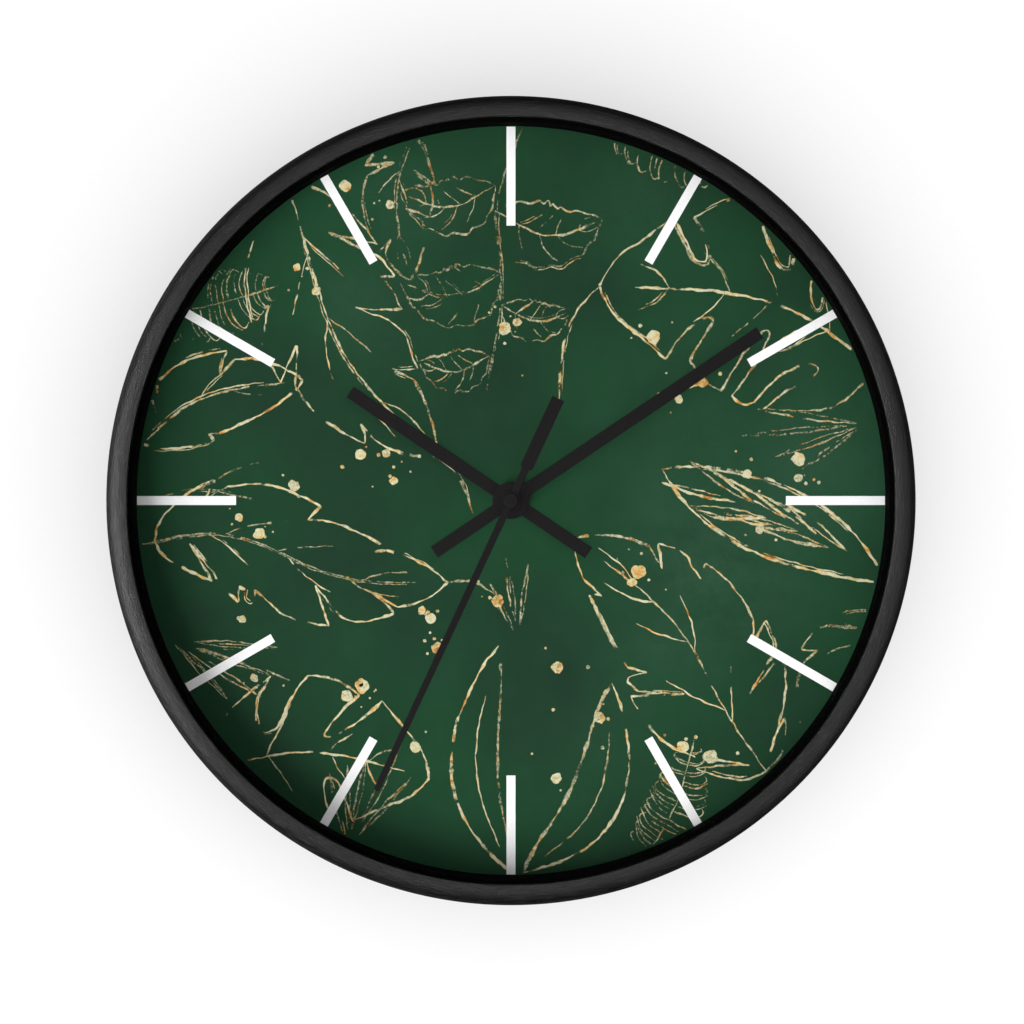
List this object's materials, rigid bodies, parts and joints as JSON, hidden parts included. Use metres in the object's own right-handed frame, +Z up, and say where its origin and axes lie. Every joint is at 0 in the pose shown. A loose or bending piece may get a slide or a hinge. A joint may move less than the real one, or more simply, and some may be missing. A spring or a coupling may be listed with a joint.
{
  "type": "wall clock",
  "caption": "Round analogue wall clock: deep painted hoop, clear front, bar hands that turn through a coupled gear train, rear hanger, setting knob and battery bay.",
  "frame": {"origin": "centre of the clock's box: on the axis that the three hands turn about, half-way between the hoop's back rim and its front", "axes": "+Z up towards twelve, +X towards three as seen from the front, -Y out of the dial towards the reader; the wall plane is y = +0.021 m"},
  "size_m": [0.254, 0.042, 0.254],
  "materials": {
    "hoop_paint": "black paint over wood, fine grain, satin",
    "clear_front": "clear acrylic sheet, polished",
    "black_spacer": "black, satin",
    "printed_dial": "printed dark green wash with gold line foliage and white bars",
    "hardboard": "bare hardboard",
    "zinc_steel": "zinc plated",
    "gasket_rubber": "matt",
    "brass": "turned",
    "movement_plastic": "moulded, fine spark texture",
    "natural_plastic": "moulded acetal",
    "copper_wire": "enamelled copper wire",
    "circuit_laminate": "solder mask",
    "chip_resin": "cast resin",
    "magnet": "sintered ferrite",
    "hand_black": "matt black over aluminium",
    "battery_can": "plain sleeve over a steel can"
  },
  "bodies": {
    "case": {"frame_hoop": "hoop_paint", "lens": "clear_front", "spacer_ring": "black_spacer", "dial": "printed_dial", "backing_board": "hardboard", "retaining_point_1": "zinc_steel", "retaining_point_2": "zinc_steel", "retaining_point_3": "zinc_steel", "retaining_point_4": "zinc_steel", "retaining_point_5": "zinc_steel", "retaining_point_6": "zinc_steel", "gasket": "gasket_rubber", "hanger": "zinc_steel", "dial_washer": "brass", "dial_nut": "brass", "movement_shell": "movement_plastic", "movement_cover": "movement_plastic", "bridge_plate": "natural_plastic", "center_bushing": "brass", "stator_plate": "zinc_steel", "coil_core": "zinc_steel", "coil_bobbin": "natural_plastic", "coil_winding": "copper_wire", "circuit_board": "circuit_laminate", "control_chip": "chip_resin", "quartz_can": "zinc_steel", "contact_positive": "zinc_steel", "contact_negative": "zinc_steel"},
    "second_hand": {"second_hand": "hand_black", "second_hand_cap": "hand_black", "seconds_arbor": "zinc_steel", "seconds_wheel": "natural_plastic"},
    "rotor": {"rotor_magnet": "magnet", "rotor_pinion": "natural_plastic"},
    "reduction_wheel": {"reduction_wheel": "natural_plastic"},
    "third_wheel": {"third_wheel": "natural_plastic"},
    "minute_hand": {"minute_hand": "hand_black", "minute_pipe": "natural_plastic", "minute_wheel": "natural_plastic"},
    "motion_wheel": {"motion_wheel": "natural_plastic"},
    "hour_hand": {"hour_hand": "hand_black", "hour_wheel": "natural_plastic"},
    "setting_knob": {"setting_knob": "movement_plastic", "setting_arbor": "natural_plastic"},
    "battery": {"battery": "battery_can"}
  },
  "joints": [
    {"name": "second_hand_turn", "type": "hinge", "parent": "case", "child": "second_hand", "pos_m": [0, -0.0145, 0], "axis": [0, 1, 0], "continuous": true},
    {"name": "rotor_turn", "type": "hinge", "parent": "case", "child": "rotor", "pos_m": [0.01163, 0.0095, 0.0084], "axis": [0, 1, 0], "continuous": true},
    {"name": "reduction_wheel_turn", "type": "hinge", "parent": "case", "child": "reduction_wheel", "pos_m": [0.00643, 0.0095, 0.0054], "axis": [0, 1, 0], "continuous": true},
    {"name": "third_wheel_turn", "type": "hinge", "parent": "case", "child": "third_wheel", "pos_m": [-0.00883, 0.0064, 0.0051], "axis": [0, 1, 0], "continuous": true},
    {"name": "minute_hand_turn", "type": "hinge", "parent": "case", "child": "minute_hand", "pos_m": [0, -0.0122, 0], "axis": [0, 1, 0], "continuous": true},
    {"name": "motion_wheel_turn", "type": "hinge", "parent": "case", "child": "motion_wheel", "pos_m": [0.0075, 0.0034, 0], "axis": [0, 1, 0], "continuous": true},
    {"name": "hour_hand_turn", "type": "hinge", "parent": "case", "child": "hour_hand", "pos_m": [0, -0.0102, 0], "axis": [0, 1, 0], "continuous": true},
    {"name": "setting_knob_turn", "type": "hinge", "parent": "case", "child": "setting_knob", "pos_m": [0.01125, 0.017, -0.00649], "axis": [0, 1, 0], "continuous": true},
    {"name": "battery_lift_out", "type": "slide", "parent": "case", "child": "battery", "axis": [0, 1, 0], "range_m": [0, 0.022]}
  ],
  "couplings": [
    {"joint": "rotor_turn", "follows": "second_hand_turn", "ratio": 30},
    {"joint": "reduction_wheel_turn", "follows": "second_hand_turn", "ratio": -6},
    {"joint": "third_wheel_turn", "follows": "second_hand_turn", "ratio": -0.13333},
    {"joint": "minute_hand_turn", "follows": "second_hand_turn", "ratio": 0.016667},
    {"joint": "motion_wheel_turn", "follows": "second_hand_turn", "ratio": -0.0055556},
    {"joint": "hour_hand_turn", "follows": "second_hand_turn", "ratio": 0.0013889},
    {"joint": "setting_knob_turn", "follows": "second_hand_turn", "ratio": 0.016667}
  ]
}
